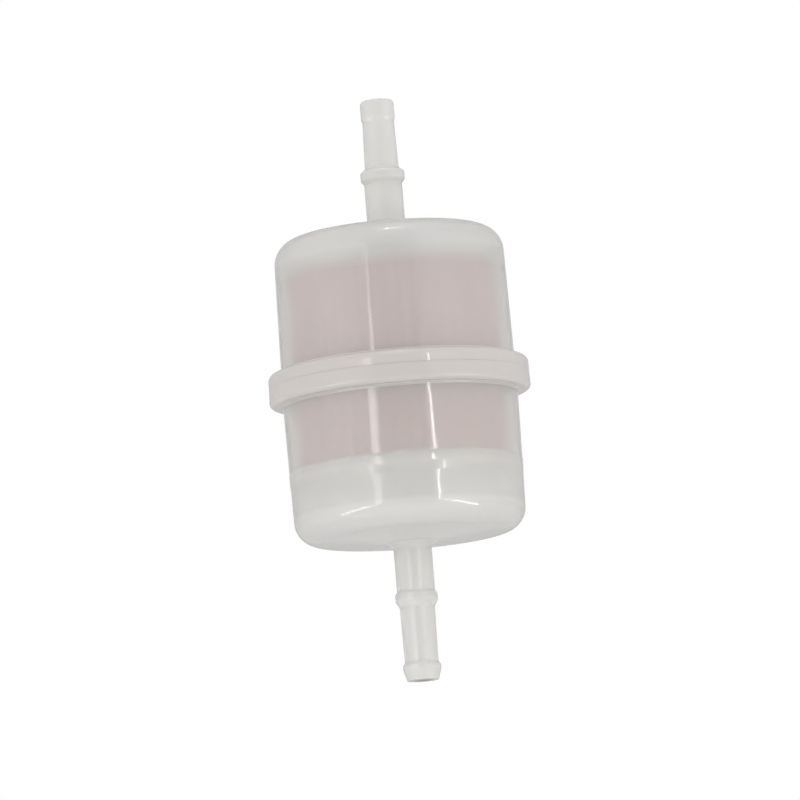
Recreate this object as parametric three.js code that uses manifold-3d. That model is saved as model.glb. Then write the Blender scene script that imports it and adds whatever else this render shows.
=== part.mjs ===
// In-line fuel filter: a moulded nylon case in two halves, friction-welded at the flange, round a pleated paper
// element. Fuel comes in at the bottom stem, fills the case round the paper, passes in through the pleats to the
// core tube, and leaves by the spigot and the top stem.
// Millimetres. +Z runs along the stems from inlet to outlet. The origin is halfway between the stem tips.
import * as THREE from "three";
import { mergeVertices } from "three/addons/utils/BufferGeometryUtils.js";
import Module from "manifold-3d";

const wasm = await Module();
wasm.setup();

// ---- Driving dimensions ----
const SIDES = 36; // facets round every turned piece
const TIP_Z = 64; // each stem tip, so the filter is 128 long
const BORE_R = 2.0; // the way through both stems
const WALL = 1.5; // case wall

// Outlet case, the upper half.
const OUT_TOP_Z = 35.5; // top of the cone, where the stem starts
const OUT_CONE = 1.5; // fall of the shallow end cone
const OUT_SHOULDER = 5.5; // outer radius of the shoulder's curve
const OUT_R = 25.05; // outer radius just under the shoulder
const OUT_R_AT_FLANGE = 25.5;

// Inlet case, the lower half.
const IN_BOTTOM_Z = -33.95;
const IN_CONE = 1.4;
const IN_SHOULDER = 5.1;
const IN_R = 25.2;
const IN_R_AT_FLANGE = 25.65;
const IN_FLARE = 1.1; // cone at the root of the inlet stem

// Welded flange: a tongue on the outlet half sits in a groove on the inlet half.
const FLANGE_R = 28.6; // inlet half
const OUT_FLANGE_R = 28.4; // outlet half, a little smaller
const FLANGE_TOP_Z = 5.0;
const FLANGE_BOTTOM_Z = -2.1;
const FLANGE_ROUND = 1.1;
const SEAM_Z = 1.9; // the joint line, halfway up the flange
const SEAM_GAP = 0.1;
const TONGUE = { inner: 26.45, outer: 27.35, depth: 1.3, draft: 0.1 };
const GROOVE_PLAY = 0.12; // round the tongue
const GROOVE_DEPTH = 1.6;

// Stems: a bulged tip that holds a small hose, a bead, and a base that holds a larger one.
const STEM_BASE_R = 4.16; // root of both stems
const STEP = 0.8; // length of the slope from a neck up to its bulge
const OUT_STEM = {
  tipFace: 2.5,
  tipRound: 1.7,
  bulge: 3.72,
  bulgeLength: 4.7,
  neck: 3.48,
  neckAtBead: 3.72,
  bead: 4.8,
  beadZ: 47.2,
  beadHalf: 1.7,
};
const IN_STEM = {
  tipFace: 3.35,
  bulge: 4.16,
  bulgeLength: 4.05,
  neck: 3.67,
  neckAtBead: 3.84,
  bead: 4.6,
  beadZ: -46.0,
  beadHalf: 1.5,
};

// Element.
const PLEATS = 48;
const PAPER = { outer: 22.55, inner: 12.2, thick: 0.5, outerFold: 0.9, innerFold: 0.62 };
const PAPER_Z = [-18.3, 25.8];
const GLUE = 0.5; // bond between the paper and each cap
const GAP = 0.05; // between bonded pieces
const CLOSED_CAP = { rimR: 23.5, rimThick: 0.5, topZ: -16.25, floor: 1.2 };
const OUTLET_CAP = { r: 22.6, plate: 1.5 };
const LIP = { r: 9.7, thick: 1.2, height: 2.4, chamfer: 0.3 }; // on each cap, inside the core tube
const SPIGOT = { r: 4.7, grooveR: 3.9, grooveWidth: 2.0, landing: 0.7, bore: 2.5, top: 31.7, chamfer: 0.3 };
const SOCKET = { r: 5.0, wall: 1.5, mouthZ: 28.3, roofZ: 32.4, leadIn: 0.4 };
const CORE = { inner: 10.0, outer: 11.0, rows: 6, columns: 8, windowWidth: 3.6, windowHeight: 4.6 };
const SEAM_BEAD = { inner: 15, outer: 19.6, play: 0.1, pleat: 12 };

const up = Math.PI / 2;

// ---- Profile and solid helpers ----

// Points of a quarter ellipse from a to b, both [r, z]. It sets off from a along the direction named, "r" or "z".
function quarter(a, b, along, steps) {
  const points = [];
  for (let i = 0; i <= steps; i++) {
    const t = (i / steps) * up;
    const early = 1 - Math.cos(t);
    const late = Math.sin(t);
    const [fr, fz] = along === "r" ? [late, early] : [early, late];
    points.push([a[0] + (b[0] - a[0]) * fr, a[1] + (b[1] - a[1]) * fz]);
  }
  return points;
}

// A rounded bead from z + half down to z - half, on a stem whose radius goes from one value to the other there.
function bead(z, half, from, to, peak, steps) {
  const points = [];
  for (let i = 0; i <= steps; i++) {
    const t = i / steps;
    const base = from + (to - from) * t;
    points.push([base + (peak - base) * Math.sin(Math.PI * t), z + half * Math.cos(Math.PI * t)]);
  }
  return points;
}

// A turned solid about Z. The profile is [r, z] points, clockwise with r to the right and z up.
function turned(profile) {
  const points = [...profile].reverse().map(([r, z]) => new THREE.Vector2(r, z));
  const first = points[0];
  const last = points[points.length - 1];
  const onAxis = first.x === 0 && last.x === 0;
  if (!onAxis) points.push(first.clone());
  return new THREE.LatheGeometry(points, SIDES).rotateX(up);
}

function toSolid(geometry) {
  const bare = new THREE.BufferGeometry();
  bare.setAttribute("position", geometry.getAttribute("position"));
  if (geometry.index) bare.setIndex(geometry.index);
  const merged = mergeVertices(bare, 1e-4);
  return new wasm.Manifold(
    new wasm.Mesh({
      numProp: 3,
      vertProperties: new Float32Array(merged.attributes.position.array),
      triVerts: new Uint32Array(merged.index.array),
    }),
  );
}

function toGeometry(solid) {
  const mesh = solid.getMesh();
  const geometry = new THREE.BufferGeometry();
  geometry.setAttribute("position", new THREE.BufferAttribute(mesh.vertProperties, 3));
  geometry.setIndex(new THREE.BufferAttribute(mesh.triVerts, 1));
  return geometry;
}

// ---- Case ----

function outletHousing() {
  const s = OUT_STEM;
  const bulgeEnd = TIP_Z - s.bulgeLength;
  const edgeZ = OUT_TOP_Z - OUT_CONE;
  const inner = OUT_R - WALL;
  const innerEdgeZ = edgeZ - WALL;
  const innerShoulder = OUT_SHOULDER - WALL;
  const socketOuter = SOCKET.r + SOCKET.wall;
  return turned([
    [BORE_R, TIP_Z],
    ...quarter([s.tipFace, TIP_Z], [s.bulge, TIP_Z - s.tipRound], "r", 4),
    [s.bulge, bulgeEnd + STEP],
    [s.neck, bulgeEnd],
    ...bead(s.beadZ, s.beadHalf, s.neckAtBead, STEM_BASE_R, s.bead, 6),
    [STEM_BASE_R, OUT_TOP_Z],
    ...quarter([OUT_R - OUT_SHOULDER, edgeZ], [OUT_R, edgeZ - OUT_SHOULDER], "r", 6),
    [OUT_R_AT_FLANGE, FLANGE_TOP_Z],
    ...quarter([OUT_FLANGE_R - FLANGE_ROUND, FLANGE_TOP_Z], [OUT_FLANGE_R, FLANGE_TOP_Z - FLANGE_ROUND], "r", 3),
    [OUT_FLANGE_R, SEAM_Z + SEAM_GAP],
    [TONGUE.outer, SEAM_Z + SEAM_GAP],
    [TONGUE.outer - TONGUE.draft, SEAM_Z - TONGUE.depth],
    [TONGUE.inner + TONGUE.draft, SEAM_Z - TONGUE.depth],
    [TONGUE.inner, SEAM_Z + SEAM_GAP],
    [OUT_R_AT_FLANGE - WALL, SEAM_Z + SEAM_GAP],
    ...quarter([inner, innerEdgeZ - innerShoulder], [inner - innerShoulder, innerEdgeZ], "z", 4),
    [socketOuter, OUT_TOP_Z - WALL],
    [socketOuter, SOCKET.mouthZ],
    [SOCKET.r + SOCKET.leadIn, SOCKET.mouthZ],
    [SOCKET.r, SOCKET.mouthZ + SOCKET.leadIn],
    [SOCKET.r, SOCKET.roofZ],
    [BORE_R, SOCKET.roofZ + 1],
  ]);
}

function inletHousing() {
  const s = IN_STEM;
  const bulgeEnd = -TIP_Z + s.bulgeLength;
  const edgeZ = IN_BOTTOM_Z + IN_CONE;
  const inner = IN_R - WALL;
  const innerEdgeZ = edgeZ + WALL;
  const innerShoulder = IN_SHOULDER - WALL;
  const grooveFloor = SEAM_Z - GROOVE_DEPTH;
  const underside = FLANGE_BOTTOM_Z;
  return turned([
    [IN_R_AT_FLANGE - WALL, SEAM_Z],
    [TONGUE.inner - GROOVE_PLAY, SEAM_Z],
    [TONGUE.inner, grooveFloor],
    [TONGUE.outer, grooveFloor],
    [TONGUE.outer + GROOVE_PLAY, SEAM_Z],
    [FLANGE_R, SEAM_Z],
    ...quarter([FLANGE_R, underside + FLANGE_ROUND], [FLANGE_R - FLANGE_ROUND, underside], "z", 3),
    [IN_R_AT_FLANGE, underside],
    ...quarter([IN_R, edgeZ + IN_SHOULDER], [IN_R - IN_SHOULDER, edgeZ], "z", 6),
    [STEM_BASE_R + IN_FLARE, IN_BOTTOM_Z],
    [STEM_BASE_R, IN_BOTTOM_Z - IN_FLARE],
    ...bead(s.beadZ, s.beadHalf, STEM_BASE_R, s.neckAtBead, s.bead, 6),
    [s.neck, bulgeEnd],
    [s.bulge, bulgeEnd - STEP],
    [s.bulge, bulgeEnd - 2 * STEP],
    [s.tipFace, -TIP_Z],
    [BORE_R, -TIP_Z],
    [BORE_R, IN_BOTTOM_Z],
    [BORE_R + WALL, IN_BOTTOM_Z + WALL],
    ...quarter([inner - innerShoulder, innerEdgeZ], [inner, innerEdgeZ + innerShoulder], "r", 4),
  ]);
}

// ---- Element ----

// The middle line of the folded strip, with a flat outer fold and a flat inner fold for each pleat.
function pleatLine() {
  const points = [];
  const pitch = (2 * Math.PI) / PLEATS;
  const at = (r, a) => points.push(new THREE.Vector2(r * Math.cos(a), r * Math.sin(a)));
  for (let i = 0; i < PLEATS; i++) {
    const a = i * pitch;
    const outerHalf = PAPER.outerFold / 2 / PAPER.outer;
    const innerHalf = PAPER.innerFold / 2 / PAPER.inner;
    at(PAPER.outer, a - outerHalf);
    at(PAPER.outer, a + outerHalf);
    at(PAPER.inner, a + pitch / 2 - innerHalf);
    at(PAPER.inner, a + pitch / 2 + innerHalf);
  }
  return points;
}

// A closed line moved outwards by a distance, with its corners mitred.
function offset(line, distance) {
  return line.map((p, i) => {
    const before = line[(i + line.length - 1) % line.length];
    const after = line[(i + 1) % line.length];
    const a = p.clone().sub(before).normalize();
    const b = after.clone().sub(p).normalize();
    const normalA = new THREE.Vector2(a.y, -a.x);
    const normalB = new THREE.Vector2(b.y, -b.x);
    const mitre = normalA.add(normalB).normalize();
    const reach = distance / mitre.dot(normalB);
    return p.clone().addScaledVector(mitre, reach);
  });
}

function filterPaper() {
  const line = pleatLine();
  const shape = new THREE.Shape(offset(line, PAPER.thick / 2));
  shape.holes.push(new THREE.Path(offset(line, -PAPER.thick / 2)));
  const depth = PAPER_Z[1] - PAPER_Z[0];
  return new THREE.ExtrudeGeometry(shape, { depth, bevelEnabled: false }).translate(0, 0, PAPER_Z[0]);
}

// Half the width, at radius r, of the open valley between two pleats.
function valleyHalf(r) {
  const share = (r - PAPER.inner) / (PAPER.outer - PAPER.inner);
  const outerGap = (Math.PI * PAPER.outer) / PLEATS - PAPER.outerFold / 2;
  const innerGap = PAPER.innerFold / 2;
  return innerGap + (outerGap - innerGap) * share - PAPER.thick / 2;
}

// The bead of glue in the one pleat where the strip's two ends meet.
function paperSeamBead() {
  const s = SEAM_BEAD;
  const innerHalf = valleyHalf(s.inner) - s.play;
  const outerHalf = valleyHalf(s.outer) - s.play;
  const shape = new THREE.Shape([
    new THREE.Vector2(s.inner, -innerHalf),
    new THREE.Vector2(s.outer, -outerHalf),
    new THREE.Vector2(s.outer + outerHalf, 0),
    new THREE.Vector2(s.outer, outerHalf),
    new THREE.Vector2(s.inner, innerHalf),
  ]);
  const depth = PAPER_Z[1] - PAPER_Z[0] - 2 * s.play;
  const valleyAngle = ((s.pleat + 0.5) * 2 * Math.PI) / PLEATS;
  return new THREE.ExtrudeGeometry(shape, { depth, bevelEnabled: false })
    .translate(0, 0, PAPER_Z[0] + s.play)
    .rotateZ(valleyAngle);
}

function closedEndCap() {
  const c = CLOSED_CAP;
  const floorTop = PAPER_Z[0] - GAP - GLUE - GAP;
  const bottom = floorTop - c.floor;
  const lipTop = floorTop + LIP.height;
  return turned([
    [0, floorTop],
    [LIP.r - LIP.thick, floorTop],
    [LIP.r - LIP.thick, lipTop],
    [LIP.r - LIP.chamfer, lipTop],
    [LIP.r, lipTop - LIP.chamfer],
    [LIP.r, floorTop],
    [c.rimR - c.rimThick, floorTop],
    [c.rimR - c.rimThick, c.topZ],
    [c.rimR, c.topZ],
    ...quarter([c.rimR, bottom + c.floor / 2], [c.rimR - c.floor / 2, bottom], "z", 2),
    [0, bottom],
  ]);
}

function outletEndCap() {
  const c = OUTLET_CAP;
  const bottom = PAPER_Z[1] + GAP + GLUE + GAP;
  const top = bottom + c.plate;
  const lipBottom = bottom - LIP.height;
  const grooveTop = SPIGOT.top - SPIGOT.landing;
  const grooveBottom = grooveTop - SPIGOT.grooveWidth;
  return turned([
    [SPIGOT.bore, SPIGOT.top],
    [SPIGOT.r - SPIGOT.chamfer, SPIGOT.top],
    [SPIGOT.r, SPIGOT.top - SPIGOT.chamfer],
    [SPIGOT.r, grooveTop],
    [SPIGOT.grooveR, grooveTop],
    [SPIGOT.grooveR, grooveBottom],
    [SPIGOT.r, grooveBottom],
    [SPIGOT.r, top],
    ...quarter([c.r - c.plate / 3, top], [c.r, top - c.plate / 3], "r", 2),
    [c.r, bottom],
    [LIP.r, bottom],
    [LIP.r, lipBottom + LIP.chamfer],
    [LIP.r - LIP.chamfer, lipBottom],
    [LIP.r - LIP.thick, lipBottom],
    [LIP.r - LIP.thick, bottom],
    [SPIGOT.bore, bottom],
  ]);
}

// A flat ring of glue, from the cap's lip to the outside of the pleats.
function glueRing(z) {
  const inner = CORE.inner + 0.1;
  const outer = PAPER.outer + PAPER.thick / 2 - 0.3;
  return turned([
    [inner, z + GLUE],
    [outer, z + GLUE],
    [outer, z],
    [inner, z],
  ]);
}

// The support tube inside the pleats, with rows of windows for the fuel.
function coreTube() {
  const [bottom, top] = PAPER_Z;
  let tube = toSolid(
    turned([
      [CORE.inner, top],
      [CORE.outer, top],
      [CORE.outer, bottom],
      [CORE.inner, bottom],
    ]),
  );
  const pitch = (top - bottom) / CORE.rows;
  for (let row = 0; row < CORE.rows; row++) {
    for (let column = 0; column < CORE.columns / 2; column++) {
      const cutter = new THREE.BoxGeometry(4 * CORE.outer, CORE.windowWidth, CORE.windowHeight)
        .rotateZ((column * 2 * Math.PI) / CORE.columns)
        .translate(0, 0, bottom + pitch * (row + 0.5));
      tube = tube.subtract(toSolid(cutter));
    }
  }
  return toGeometry(tube);
}

// The ring in the spigot's groove, squeezed between the groove and the socket.
function spigotSeal() {
  const radialHalf = (SOCKET.r - SPIGOT.grooveR) / 2 - GAP;
  const axialHalf = 0.75;
  const middleR = (SOCKET.r + SPIGOT.grooveR) / 2;
  const middleZ = SPIGOT.top - SPIGOT.landing - SPIGOT.grooveWidth / 2;
  const steps = 8;
  const profile = [];
  for (let i = 0; i < steps; i++) {
    const a = (-2 * Math.PI * i) / steps;
    profile.push([middleR + radialHalf * Math.cos(a), middleZ + axialHalf * Math.sin(a)]);
  }
  return turned(profile);
}

// ---- Assembly ----
const finish = (color, roughness) => new THREE.MeshStandardMaterial({ color, roughness, metalness: 0 });
const nylon = () => Object.assign(finish(0xd6d3cc, 0.3), { transparent: true, opacity: 0.6 });
const paper = () => finish(0xd3aca6, 0.95);
const capPlastic = () => finish(0xe4e1d9, 0.45);
const glue = () => finish(0xdcd2bc, 0.5);
const rubber = () => finish(0x232323, 0.7);

const filter = new THREE.Group();

function add(name, geometry, material) {
  const mesh = new THREE.Mesh(geometry, material);
  mesh.name = name;
  filter.add(mesh);
}

add("outlet_housing", outletHousing(), nylon());
add("inlet_housing", inletHousing(), nylon());
add("filter_paper", filterPaper(), paper());
add("paper_seam_bead", paperSeamBead(), glue());
add("closed_end_cap", closedEndCap(), capPlastic());
add("outlet_end_cap", outletEndCap(), capPlastic());
add("closed_cap_glue", glueRing(PAPER_Z[0] - GAP - GLUE), glue());
add("outlet_cap_glue", glueRing(PAPER_Z[1] + GAP), glue());
add("core_tube", coreTube(), capPlastic());
add("spigot_seal", spigotSeal(), rubber());

export default filter;
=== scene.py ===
import math

import bpy
from mathutils import Matrix, Vector, noise


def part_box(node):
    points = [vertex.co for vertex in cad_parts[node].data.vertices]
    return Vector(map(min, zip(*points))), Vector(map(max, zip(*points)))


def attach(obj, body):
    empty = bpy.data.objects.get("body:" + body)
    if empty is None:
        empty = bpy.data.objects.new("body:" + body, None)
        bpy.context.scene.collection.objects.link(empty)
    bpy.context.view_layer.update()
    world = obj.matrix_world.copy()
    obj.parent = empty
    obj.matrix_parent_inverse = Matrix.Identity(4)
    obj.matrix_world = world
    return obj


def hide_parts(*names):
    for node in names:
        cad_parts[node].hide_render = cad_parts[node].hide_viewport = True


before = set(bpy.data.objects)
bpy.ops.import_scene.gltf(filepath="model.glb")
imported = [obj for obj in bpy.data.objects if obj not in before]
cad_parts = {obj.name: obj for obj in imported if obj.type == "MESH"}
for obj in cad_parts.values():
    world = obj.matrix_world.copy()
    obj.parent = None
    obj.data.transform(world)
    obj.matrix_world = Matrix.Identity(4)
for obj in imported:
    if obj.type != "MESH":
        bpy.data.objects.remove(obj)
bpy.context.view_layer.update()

MM = 0.001
TURN = 2 * math.pi


def span(node):
    """Lowest and highest z of a CAD node, and its outer radius, in millimetres."""
    low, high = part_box(node)
    return low[2] / MM, high[2] / MM, high[0] / MM


INLET_TIP, INLET_SEAM, FLANGE_R = span("inlet_housing")
OUTLET_TONGUE, OUTLET_TIP, _ = span("outlet_housing")
PAPER_LOW, PAPER_HIGH, PAPER_R = span("filter_paper")
CAP_LOW, CAP_RIM, CAP_R = span("closed_end_cap")
LID_LOW, SPIGOT_TOP, LID_R = span("outlet_end_cap")
SEAL_LOW, SEAL_HIGH, SEAL_R = span("spigot_seal")

# Case. The stems' walls are only for how milky the nylon looks there. The flange's wall also sets the painted
# shade that darkens the flange.
WALL = 1.5
STEM_WALL = 3.4
INLET_STEM_WALL = 3.2
FLANGE_WALL = 6.0
BORE_R = 2.0
STEM_R = 4.16
FLANGE_TOP = 5.0
FLANGE_UNDER = -2.1
SEAM_R = 28.45
SEAM_GAP = 0.01
TONGUE_INNER, TONGUE_OUTER = 26.45, 27.35
GROOVE_PLAY = 0.12
GROOVE_DEPTH = 1.6
SOCKET_R = 5.0
SOCKET_MOUTH = 28.3

# Element
PLEATS = 48
PAPER_INNER_R = 12.2
PAPER_THICK = 0.42
CAP_TO_PAPER = 0.6
GLUE_INNER_R = 10.1
LIP_INNER, LIP_OUTER = 8.5, 9.7
LIP_HEIGHT = 2.4
SPIGOT_R = 4.7
SPIGOT_BORE_R = 2.5
SPIGOT_GROOVE_R = 3.9

# ---- Mesh helpers ----


def rounded(corners, closed=True, step=0.28):
    """Points [r, z, wall] along a profile. Each corner is (r, z, fillet radius, wall thickness there)."""
    count = len(corners)
    points = []
    for i, (r, z, fillet, wall) in enumerate(corners):
        here = Vector((r, z))
        if fillet == 0 or (not closed and i in (0, count - 1)):
            points.append((r, z, wall))
            continue
        back = Vector(corners[i - 1][:2]) - here
        ahead = Vector(corners[(i + 1) % count][:2]) - here
        half = back.angle(ahead) / 2
        room_back = back.length * (0.49 if corners[i - 1][2] else 0.98)
        room_ahead = ahead.length * (0.49 if corners[(i + 1) % count][2] else 0.98)
        reach = min(fillet / math.tan(half), room_back, room_ahead)
        radius = reach * math.tan(half)
        start = here + back.normalized() * reach
        end = here + ahead.normalized() * reach
        centre = here + (back.normalized() + ahead.normalized()).normalized() * (radius / math.sin(half))
        sweep = math.pi - 2 * half
        steps = max(2, math.ceil(radius * sweep / step), math.ceil(sweep / 0.3))
        from_centre = start - centre
        sense = 1 if from_centre.cross(end - centre) > 0 else -1
        for k in range(steps + 1):
            a = sense * sweep * k / steps
            x = from_centre.x * math.cos(a) - from_centre.y * math.sin(a)
            y = from_centre.x * math.sin(a) + from_centre.y * math.cos(a)
            points.append((centre.x + x, centre.y + y, wall))
    return points


def long_runs_cut(points, closed=True, longest=1.6, hold=0.05):
    """The profile with its straight runs cut up, also close to both ends, which keeps them flat that far."""
    out = []
    count = len(points)
    for i, a in enumerate(points):
        out.append(a)
        if not closed and i == count - 1:
            break
        b = points[(i + 1) % count]
        length = math.hypot(b[0] - a[0], b[1] - a[1])
        pieces = math.ceil(length / longest)
        cuts = [k / pieces for k in range(1, pieces)]
        if length > 6 * hold:
            cuts = [hold / length, *cuts, 1 - hold / length]
        for t in cuts:
            out.append(tuple(p + (q - p) * t for p, q in zip(a, b)))
    return out


def make_object(name, vertices, faces, material, node, walls=None, sharp=35):
    """A smooth-shaded mesh from millimetre vertices. It rides on the filter and replaces the CAD node."""
    mesh = bpy.data.meshes.new(name)
    mesh.from_pydata([[c * MM for c in v] for v in vertices], [], faces)
    mesh.validate()
    mesh.shade_smooth()
    mesh.set_sharp_from_angle(angle=math.radians(sharp))
    if walls:
        layer = mesh.attributes.new("wall", "FLOAT", "POINT")
        layer.data.foreach_set("value", walls)
    piece = bpy.data.objects.new(name, mesh)
    bpy.context.scene.collection.objects.link(piece)
    piece.data.materials.append(material)
    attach(piece, "root")
    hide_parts(node)
    return piece


def lathe(name, points, material, node, sides=192, closed=True, shape=None):
    """A turned solid. The points go down the outside and up the inside. An open profile ends on the axis."""
    vertices = []
    walls = []
    rings = []
    for r, z, wall in points:
        ring = []
        if r < 1e-6:
            ring = [len(vertices)] * sides
            vertices.append((0, 0, z))
            walls.append(wall)
        else:
            for k in range(sides):
                a = TURN * k / sides
                rr, zz = shape(r, z, a) if shape else (r, z)
                ring.append(len(vertices))
                vertices.append((rr * math.cos(a), rr * math.sin(a), zz))
                walls.append(wall)
        rings.append(ring)
    pairs = list(zip(rings, rings[1:]))
    if closed:
        pairs.append((rings[-1], rings[0]))
    faces = []
    for upper, lower in pairs:
        for k in range(sides):
            m = (k + 1) % sides
            face = [upper[k], lower[k], lower[m], upper[m]]
            face = [v for i, v in enumerate(face) if v not in face[:i]]
            if len(face) > 2:
                faces.append(face)
    return make_object(name, vertices, faces, material, node, walls)


# ---- Material helpers ----


class Nodes:
    """A material's node tree, with short ways to add to it."""

    def __init__(self, name):
        self.material = bpy.data.materials.new(name)
        self.material.use_nodes = True
        self.tree = self.material.node_tree
        self.tree.nodes.clear()
        self.out = self.add("ShaderNodeOutputMaterial")
        self.place = self.add("ShaderNodeTexCoord").outputs["Object"]

    def add(self, kind, inputs=None, **settings):
        node = self.tree.nodes.new(kind)
        for key, value in settings.items():
            setattr(node, key, value)
        for key, value in (inputs or {}).items():
            socket = node.inputs[key]
            if isinstance(value, bpy.types.NodeSocket):
                self.tree.links.new(value, socket)
            else:
                socket.default_value = value
        return node

    def noise(self, scale, detail=3.0, stretch=None, rough=0.5):
        where = self.place
        if stretch:
            where = self.add("ShaderNodeMapping", {"Vector": where, "Scale": stretch}).outputs[0]
        values = {"Vector": where, "Scale": scale, "Detail": detail, "Roughness": rough}
        return self.add("ShaderNodeTexNoise", values).outputs["Fac"]

    def ramp(self, value, *stops):
        node = self.add("ShaderNodeValToRGB", {"Fac": value})
        elements = node.color_ramp.elements
        while len(elements) < len(stops):
            elements.new(0.5)
        for element, (at, colour) in zip(elements, stops):
            element.position = at
            element.color = (*colour, 1)
        return node.outputs["Color"]

    def spread(self, value, low, high, from_low=0.3, from_high=0.7):
        values = {"Value": value, "From Min": from_low, "From Max": from_high, "To Min": low, "To Max": high}
        return self.add("ShaderNodeMapRange", values).outputs["Result"]

    def math(self, operation, *values):
        return self.add("ShaderNodeMath", dict(enumerate(values)), operation=operation).outputs[0]

    def bump(self, height, distance, strength):
        values = {"Height": height, "Distance": distance, "Strength": strength}
        return self.add("ShaderNodeBump", values).outputs["Normal"]

    def finish(self, **values):
        """The material, with a shader of these values. A name's underscores stand for spaces."""
        inputs = {key.replace("_", " "): value for key, value in values.items()}
        shader = self.add("ShaderNodeBsdfPrincipled", inputs)
        self.tree.links.new(shader.outputs[0], self.out.inputs["Surface"])
        return self.material


def nylon():
    """Milky natural nylon, with painted shade darkening the thick flange. Less shows through a thicker wall.
    Inner faces have a wall of 0 and are clear.
    """
    n = Nodes("milky_nylon")
    cloud = n.noise(55, 4, stretch=(1, 1, 0.6))
    colour = n.ramp(cloud, (0.3, (0.93, 0.915, 0.89)), (0.7, (0.95, 0.94, 0.92)))
    fine = n.bump(n.noise(700, 3), 0.000004, 0.5)
    ripple = n.bump(n.noise(85, 2, stretch=(1, 1, 0.6)), 0.00012, 0.5)
    wall = n.add("ShaderNodeAttribute", attribute_name="wall").outputs["Fac"]
    # Painted shade: where the wall is thick, in effect only on the flange, a grey is multiplied into the
    # colour to darken it.
    flange_shade_mask = n.spread(wall, 0, 1, 3.5, FLANGE_WALL)
    shade = (0.785, 0.768, 0.765, 1)
    colours = {"Fac": flange_shade_mask, "Color1": colour, "Color2": shade}
    colour_with_painted_shade = n.add("ShaderNodeMixRGB", colours, blend_type="MULTIPLY")
    clear_per_millimetre = 0.68
    thin = n.math("POWER", clear_per_millimetre, wall)
    grain = n.spread(n.noise(150, 4), 0.11, 0.15)
    haze = n.spread(wall, 0, 0.11, WALL, 2.6)
    roughness = n.math("ADD", grain, haze)
    return n.finish(
        Base_Color=colour_with_painted_shade.outputs[0],
        Roughness=roughness,
        IOR=1.5,
        Normal=fine,
        Coat_Normal=ripple,
        Transmission_Weight=thin,
        Subsurface_Weight=1.0,
        Subsurface_Radius=(1.0, 0.95, 0.9),
        Subsurface_Scale=0.0003,
        Coat_Weight=1.0,
        Coat_Roughness=0.05,
        Coat_IOR=1.5,
    )


def paper():
    """Pink resin-treated filter paper: felted fibres and a faint blotch."""
    n = Nodes("filter_paper")
    fibres = n.noise(900, 6, stretch=(1, 1, 0.5), rough=0.7)
    blotch = n.noise(70, 3)
    tone = n.math("ADD", n.math("MULTIPLY", fibres, 0.6), n.math("MULTIPLY", blotch, 0.4))
    colour = n.ramp(tone, (0.35, (0.84, 0.46, 0.46)), (0.65, (0.92, 0.57, 0.56)))
    normal = n.bump(fibres, 0.0001, 0.7)
    roughness = n.spread(fibres, 0.85, 1.0)
    return n.finish(Base_Color=colour, Roughness=roughness, Normal=normal, Specular_IOR_Level=0.2)


def cap_plastic():
    """Off-white moulded plastic of the caps and the core tube."""
    n = Nodes("cap_plastic")
    cloud = n.noise(90, 3)
    colour = n.ramp(cloud, (0.3, (0.86, 0.845, 0.81)), (0.7, (0.90, 0.89, 0.86)))
    normal = n.bump(n.noise(700, 3), 0.00003, 0.5)
    roughness = n.spread(n.noise(200, 3), 0.38, 0.5)
    return n.finish(Base_Color=colour, Roughness=roughness, Normal=normal)


def glue():
    """Set adhesive, cream and slightly glossy, with a pebbled skin."""
    n = Nodes("set_glue")
    cells = n.add("ShaderNodeTexVoronoi", {"Vector": n.place, "Scale": 1300}).outputs["Distance"]
    colour = n.ramp(n.noise(160, 3), (0.3, (0.70, 0.62, 0.50)), (0.7, (0.78, 0.71, 0.60)))
    normal = n.bump(cells, 0.0001, 0.4)
    roughness = n.spread(n.noise(250, 2), 0.3, 0.45)
    return n.finish(Base_Color=colour, Roughness=roughness, Normal=normal)


def rubber():
    """Black nitrile rubber with a faint bloom."""
    n = Nodes("seal_rubber")
    colour = n.ramp(n.noise(300, 4), (0.35, (0.012, 0.012, 0.013)), (0.75, (0.03, 0.03, 0.032)))
    roughness = n.spread(n.noise(500, 3), 0.5, 0.7)
    normal = n.bump(n.noise(1500, 2), 0.00002, 0.6)
    return n.finish(Base_Color=colour, Roughness=roughness, Normal=normal)


NYLON = nylon()
PAPER = paper()
CAP_PLASTIC = cap_plastic()
GLUE = glue()
RUBBER = rubber()

# ---- Case ----


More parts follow.
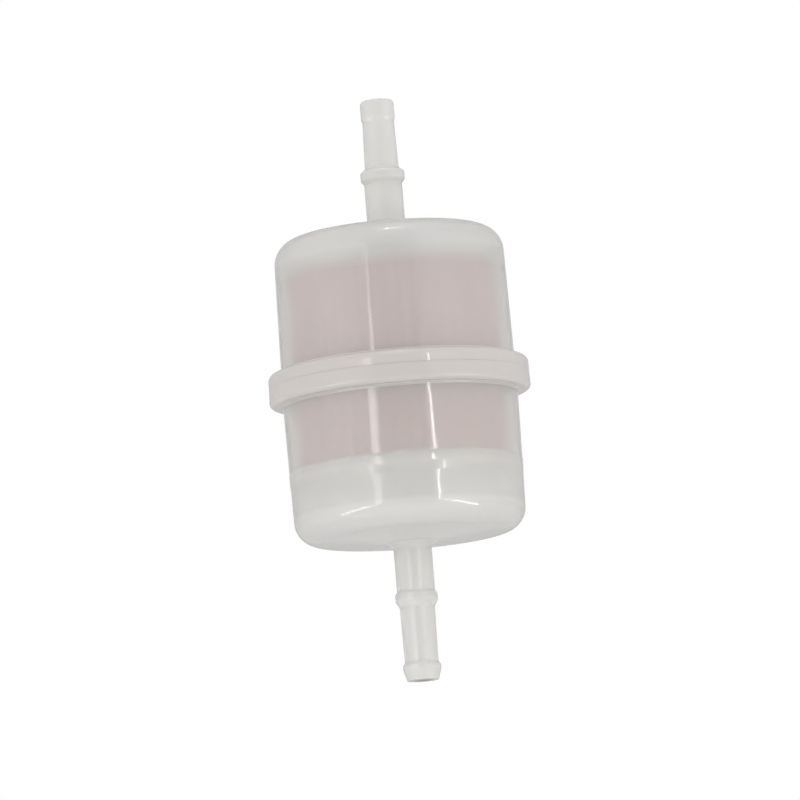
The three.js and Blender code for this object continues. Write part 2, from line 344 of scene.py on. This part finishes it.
def outlet_case():
    """The upper half: stem, shoulder, the flange's upper part, tongue and the spigot's socket."""
    seam = INLET_SEAM + SEAM_GAP
    side, side_low = 25.05, 25.52
    shoulder = 34.0
    socket_outer = SOCKET_R + WALL
    w = WALL
    corners = [
        (BORE_R, OUTLET_TIP, 0.15, 0),
        (3.72, OUTLET_TIP, 1.5, STEM_WALL),
        (3.72, 60.0, 0.6, STEM_WALL),
        (3.48, 59.2, 0.6, STEM_WALL),
        (3.72, 48.9, 0.5, STEM_WALL),
        (4.84, 48.1, 0.7, STEM_WALL),
        (4.84, 46.3, 0.7, STEM_WALL),
        (STEM_R, 45.5, 0.5, STEM_WALL),
        (STEM_R, 35.5, 0.45, STEM_WALL),
        (side, shoulder, 5.6, 2.6),
        (side + 0.10, 27.5, 0, 2.2),
        (side + 0.16, 24.0, 0, w),
        (side_low - 0.01, FLANGE_TOP + 0.6, 0, w),
        (side_low, FLANGE_TOP, 0.3, FLANGE_WALL),
        (FLANGE_R - 0.1, FLANGE_TOP, 2.8, FLANGE_WALL),
        (SEAM_R, seam, 0, FLANGE_WALL),
        (TONGUE_OUTER, seam, 0, 0),
        (TONGUE_OUTER - 0.1, OUTLET_TONGUE, 0.1, 0),
        (TONGUE_INNER + 0.1, OUTLET_TONGUE, 0.1, 0),
        (TONGUE_INNER, seam, 0, 0),
        (side_low - w, seam, 0, 0),
        (side - w, shoulder - w, 4.1, 0),
        (socket_outer, 33.9, 0.4, 0),
        (socket_outer - 0.1, SOCKET_MOUTH, 0.2, 0),
        (SOCKET_R + 0.4, SOCKET_MOUTH, 0.2, 0),
        (SOCKET_R, SOCKET_MOUTH + 0.4, 0.2, 0),
        (SOCKET_R, 32.4, 0.2, 0),
        (BORE_R, 33.4, 0.5, 0),
    ]
    points = long_runs_cut(rounded(corners))
    piece = lathe("outlet_case", points, NYLON, "outlet_housing")


def inlet_case():
    """The lower half: groove, the flange's lower part, cup and stem."""
    seam = INLET_SEAM
    side, side_high = 25.2, 25.67
    edge = -32.5
    w = WALL
    corners = [
        (side_high - w, seam, 0, 0),
        (TONGUE_INNER - GROOVE_PLAY, seam, 0, 0),
        (TONGUE_INNER, seam - GROOVE_DEPTH, 0.1, 0),
        (TONGUE_OUTER, seam - GROOVE_DEPTH, 0.1, 0),
        (TONGUE_OUTER + GROOVE_PLAY, seam, 0, 0),
        (SEAM_R, seam, 0, FLANGE_WALL),
        (FLANGE_R, FLANGE_UNDER, 1.0, FLANGE_WALL),
        (side_high, FLANGE_UNDER, 0.3, FLANGE_WALL),
        (side_high - 0.01, FLANGE_UNDER - 0.6, 0, w),
        (side + 0.24, -16.8, 0.8, w),
        (side + 0.31, -17.6, 0.8, 2.0),
        (side + 0.31, -19.2, 2.0, 2.4),
        (side + 0.19, -21.2, 2.0, 2.4),
        (side + 0.09, -26.5, 0, 2.4),
        (side, edge, 5.2, 3.0),
        (STEM_R + 1.4, -33.9, 0.8, STEM_WALL),
        (STEM_R, -35.05, 1.2, STEM_WALL),
        (STEM_R, -44.5, 0.5, INLET_STEM_WALL),
        (4.62, -45.1, 0.5, INLET_STEM_WALL),
        (4.62, -46.6, 0.6, INLET_STEM_WALL),
        (3.84, -48.0, 0.6, INLET_STEM_WALL),
        (3.67, -59.95, 0.3, INLET_STEM_WALL),
        (4.18, -60.75, 0.5, INLET_STEM_WALL),
        (4.14, -61.6, 0.6, INLET_STEM_WALL),
        (3.45, INLET_TIP, 0.2, INLET_STEM_WALL),
        (BORE_R, INLET_TIP, 0.15, 0),
        (BORE_R, -34.0, 0.6, 0),
        (BORE_R + w, edge, 0.4, 0),
        (side - w, edge + w, 3.7, 0),
    ]
    points = long_runs_cut(rounded(corners))
    piece = lathe("inlet_case", points, NYLON, "inlet_housing")


# ---- Element ----


def pleat_line():
    """The folded strip's middle line as (r, angle). Its outer folds are wide and nearly flat."""
    outer = PAPER_R - PAPER_THICK / 2
    outer_half, outer_rise = 1.22, 0.4
    inner, inner_half = PAPER_INNER_R, 0.34
    pitch = TURN / PLEATS
    steps = 5
    across = [-1 + 2 * k / steps for k in range(steps + 1)]
    line = []
    for i in range(PLEATS):
        middle = i * pitch
        for t in across:
            arch = math.sqrt(1 - t * t)
            line.append((outer - outer_rise + outer_rise * arch, middle + t * outer_half / outer))
        for t in across:
            arch = math.sqrt(1 - t * t)
            line.append((inner + inner_half - inner_half * arch, middle + pitch / 2 + t * inner_half / inner))
    return line


def filter_element():
    """The pleated paper, given thickness. Its folds waver a little between the caps."""
    line = pleat_line()
    count = len(line)
    levels = 18
    waver = 0.012
    vertices = []
    for level in range(levels + 1):
        z = PAPER_LOW + (PAPER_HIGH - PAPER_LOW) * level / levels
        held = math.sin(math.pi * level / levels)
        middle = []
        for r, a in line:
            pull = noise.noise(Vector((3 * math.cos(a), 3 * math.sin(a), z * 0.06)))
            ease = (r - PAPER_INNER_R) / (PAPER_R - PAPER_INNER_R)
            turn = a + waver * held * pull * ease
            middle.append(Vector((r * math.cos(turn), r * math.sin(turn))))
        for side in (1, -1):
            for i in range(count):
                along = (middle[(i + 1) % count] - middle[i - 1]).normalized()
                out = Vector((along.y, -along.x)) * (side * PAPER_THICK / 2)
                p = middle[i] + out
                vertices.append((p.x, p.y, z))
    faces = []
    for level in range(levels):
        low, high = level * 2 * count, (level + 1) * 2 * count
        for i in range(count):
            j = (i + 1) % count
            faces.append((low + i, low + j, high + j, high + i))
            faces.append((low + count + j, low + count + i, high + count + i, high + count + j))
    top = levels * 2 * count
    for i in range(count):
        j = (i + 1) % count
        faces.append((i, count + i, count + j, j))
        faces.append((top + i, top + j, top + count + j, top + count + i))
    piece = make_object("pleated_paper", vertices, faces, PAPER, "filter_paper", sharp=50)


def closed_cap():
    """The cup that shuts the element's inlet end, with a lip inside the core tube."""
    floor = PAPER_LOW - CAP_TO_PAPER
    corners = [
        (0, floor, 0, 1),
        (LIP_INNER, floor, 0.2, 1),
        (LIP_INNER, floor + LIP_HEIGHT, 0.2, 1),
        (LIP_OUTER, floor + LIP_HEIGHT, 0.3, 1),
        (LIP_OUTER, floor, 0.15, 1),
        (CAP_R - 0.5, floor, 0.2, 1),
        (CAP_R - 0.5, CAP_RIM, 0.12, 1),
        (CAP_R, CAP_RIM, 0.12, 1),
        (CAP_R, CAP_LOW, 0.6, 1),
        (0, CAP_LOW, 0, 1),
    ]
    points = long_runs_cut(rounded(corners, closed=False), closed=False)
    piece = lathe("closed_cap", points, CAP_PLASTIC, "closed_end_cap", closed=False)


def outlet_cap():
    """The plate at the element's outlet end, with its grooved spigot and a lip inside the core tube."""
    under = PAPER_HIGH + CAP_TO_PAPER
    top = under + 1.5
    groove_low, groove_high = 29.0, 31.0
    corners = [
        (SPIGOT_BORE_R, SPIGOT_TOP, 0.15, 1),
        (SPIGOT_R, SPIGOT_TOP, 0.3, 1),
        (SPIGOT_R, groove_high, 0.08, 1),
        (SPIGOT_GROOVE_R, groove_high, 0.15, 1),
        (SPIGOT_GROOVE_R, groove_low, 0.15, 1),
        (SPIGOT_R, groove_low, 0.08, 1),
        (SPIGOT_R, top, 0.25, 1),
        (LID_R, top, 0.5, 1),
        (LID_R, under, 0.1, 1),
        (LIP_OUTER, under, 0.15, 1),
        (LIP_OUTER, LID_LOW, 0.3, 1),
        (LIP_INNER, LID_LOW, 0.2, 1),
        (LIP_INNER, under, 0.2, 1),
        (SPIGOT_BORE_R, under, 0.3, 1),
    ]
    piece = lathe("outlet_cap", long_runs_cut(rounded(corners)), CAP_PLASTIC, "outlet_end_cap")


def glue_layer(name, node):
    """The adhesive between the paper and a cap, with an uneven edge."""
    low, high, radius = span(node)
    inner = GLUE_INNER_R
    corners = [(inner, high, 0.1, 1), (radius, high, 0.2, 1), (radius, low, 0.2, 1), (inner, low, 0.1, 1)]

    def uneven(r, z, a):
        if r < radius - 1:
            return r, z
        ebb = noise.noise(Vector((5 * math.cos(a), 5 * math.sin(a), low)))
        return r - 0.25 * (1 + ebb), z

    piece = lathe(name, rounded(corners), GLUE, node, shape=uneven)


def repaint(node, material):
    """A CAD piece that keeps its shape and gets a better material."""
    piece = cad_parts[node]
    piece.data.materials.clear()
    piece.data.materials.append(material)


def seal():
    """The seal ring in the spigot's groove."""
    middle_r = (SEAL_R + SPIGOT_GROOVE_R) / 2
    middle_z = (SEAL_LOW + SEAL_HIGH) / 2
    half_r = SEAL_R - middle_r
    half_z = (SEAL_HIGH - SEAL_LOW) / 2
    steps = 28
    points = []
    for k in range(steps):
        a = -TURN * k / steps
        points.append((middle_r + half_r * math.cos(a), middle_z + half_z * math.sin(a), 1))
    piece = lathe("seal_ring", points, RUBBER, "spigot_seal", sides=96)


outlet_case()
inlet_case()
filter_element()
closed_cap()
outlet_cap()
glue_layer("closed_cap_bond", "closed_cap_glue")
glue_layer("outlet_cap_bond", "outlet_cap_glue")
repaint("core_tube", CAP_PLASTIC)
seal()
repaint("paper_seam_bead", GLUE)

# ---- Studio ----


def add_camera():
    """Level with the lower stem, looking up past the case, with the filter's top leaning left."""
    rise = math.radians(7.82)
    lean = math.radians(4.63)
    distance = 1.68
    across, along = 0.17 * MM, -3.69 * MM
    level_right = Vector((1, 0, 0))
    forward = Vector((0, math.cos(rise), math.sin(rise)))
    level_up = level_right.cross(forward)
    right = level_right * math.cos(lean) - level_up * math.sin(lean)
    up = level_right * math.sin(lean) + level_up * math.cos(lean)
    aim = Vector((0, 0, 1.35 * MM)) + right * across + up * along
    data = bpy.data.cameras.new("camera")
    data.sensor_width = 36
    data.lens = 346.5
    data.clip_end = 20
    camera = bpy.data.objects.new("camera", data)
    bpy.context.scene.collection.objects.link(camera)
    turn = Matrix((right, up, -forward)).transposed().to_4x4()
    camera.matrix_world = Matrix.Translation(aim - forward * distance) @ turn
    bpy.context.scene.camera = camera


def direction(azimuth, elevation):
    """The way from the filter to a light. Azimuth 0 is on the camera's side and 90 is to the right."""
    a, e = math.radians(azimuth), math.radians(elevation)
    return Vector((math.sin(a) * math.cos(e), -math.cos(a) * math.cos(e), math.sin(e)))


def add_light(name, centre, long_way, length, width, radiance):
    """A rectangular light facing the filter, with its length along long_way. radiance is that of its face."""
    data = bpy.data.lights.new(name, "AREA")
    data.shape = "RECTANGLE"
    data.size = width
    data.size_y = length
    data.energy = radiance * width * length * math.pi
    lamp = bpy.data.objects.new(name, data)
    bpy.context.scene.collection.objects.link(lamp)
    back = centre.normalized()
    up = (long_way - back * long_way.dot(back)).normalized()
    turn = Matrix((up.cross(back), up, back)).transposed().to_4x4()
    lamp.matrix_world = Matrix.Translation(centre) @ turn
    return lamp


def tube_light(name, start, end, width, radiance, distance=1.5):
    """A long thin light between two directions, which draws a bright line on the gloss."""
    first = direction(*start) * distance
    last = direction(*end) * distance
    way = last - first
    add_light(name, (first + last) / 2, way, way.length, width, radiance)


def soft_box(name, azimuth, elevation, width, height, radiance, distance=1.6):
    """A large even light that the gloss doesn't show."""
    centre = direction(azimuth, elevation) * distance
    lamp = add_light(name, centre, Vector((0, 0.01, 1)), height, width, radiance)
    lamp.visible_glossy = False


def add_world():
    """White for the camera, soft light all round, and for the gloss a room with a dim front."""
    warm_white = (1.0, 0.98, 0.965)
    dim_from, dim_full = math.radians(38), math.radians(26)
    world = bpy.data.worlds.new("studio")
    bpy.context.scene.world = world
    world.use_nodes = True
    tree = world.node_tree
    tree.nodes.clear()

    def background(colour, strength):
        node = tree.nodes.new("ShaderNodeBackground")
        node.inputs["Color"].default_value = (*colour, 1)
        node.inputs["Strength"].default_value = strength
        return node.outputs[0]

    def mix(factor, first, second):
        node = tree.nodes.new("ShaderNodeMixShader")
        for socket, value in zip(node.inputs, (factor, first, second)):
            tree.links.new(value, socket)
        return node.outputs[0]

    path = tree.nodes.new("ShaderNodeLightPath").outputs
    mirrored = tree.nodes.new("ShaderNodeMath")
    mirrored.operation = "SUBTRACT"
    mirrored.use_clamp = True
    tree.links.new(path["Is Glossy Ray"], mirrored.inputs[0])
    tree.links.new(path["Is Transmission Ray"], mirrored.inputs[1])
    towards = tree.nodes.new("ShaderNodeVectorMath")
    towards.operation = "DOT_PRODUCT"
    towards.inputs[1].default_value = (0, -1, 0)
    tree.links.new(tree.nodes.new("ShaderNodeTexCoord").outputs["Generated"], towards.inputs[0])
    front = tree.nodes.new("ShaderNodeMapRange")
    front.interpolation_type = "SMOOTHSTEP"
    front.inputs["From Min"].default_value = math.cos(dim_from)
    front.inputs["From Max"].default_value = math.cos(dim_full)
    tree.links.new(towards.outputs["Value"], front.inputs["Value"])
    soft = background(warm_white, 0.75)
    bright = background(warm_white, 0.56)
    dim = background(warm_white, 0.15)
    white = background((1, 1, 1), 1.0)
    room = mix(front.outputs["Result"], bright, dim)
    back = background(warm_white, 0.9)
    through = mix(path["Is Transmission Ray"], soft, back)
    lit = mix(mirrored.outputs[0], through, room)
    seen = mix(path["Is Camera Ray"], lit, white)
    out = tree.nodes.new("ShaderNodeOutputWorld")
    tree.links.new(seen, out.inputs["Surface"])


def add_floor():
    """A wide pale floor, well below the filter, which hangs by its hoses."""
    half = 12.0
    z = -2.0
    mesh = bpy.data.meshes.new("floor")
    corners = [(-half, -half, z), (half, -half, z), (half, half, z), (-half, half, z)]
    mesh.from_pydata(corners, [], [(0, 1, 2, 3)])
    floor = bpy.data.objects.new("floor", mesh)
    bpy.context.scene.collection.objects.link(floor)
    n = Nodes("floor")
    colour = n.ramp(n.noise(1.5, 3), (0.3, (0.86, 0.86, 0.855)), (0.7, (0.89, 0.89, 0.885)))
    roughness = n.spread(n.noise(30, 3), 0.85, 0.95)
    floor.data.materials.append(n.finish(Base_Color=colour, Roughness=roughness))


add_camera()
add_world()
add_floor()
# A tube's two ends are each an azimuth and an elevation. Its width and its radiance follow.
tube_light("left_tube", (-21.5, 9.9), (-36, -1), 0.12, 2.4)
tube_light("right_tube", (25.5, 7.6), (41, -2), 0.026, 11)
tube_light("top_tube", (-12, 71), (27, 71), 0.024, 60)
tube_light("left_wing", (-38, -2), (-74, -20), 0.09, 7)
tube_light("right_wing", (42, -2), (74, -21), 0.09, 9)
# A soft box has an azimuth, an elevation, a width, a height and a radiance.
soft_box("left_box", -65, 10, 1.0, 1.2, 0.6)
soft_box("right_box", 65, 10, 1.0, 1.2, 0.5)
soft_box("low_box", 0, -50, 1.4, 1.4, 0.45)

bpy.context.scene.view_settings.view_transform = "Standard"
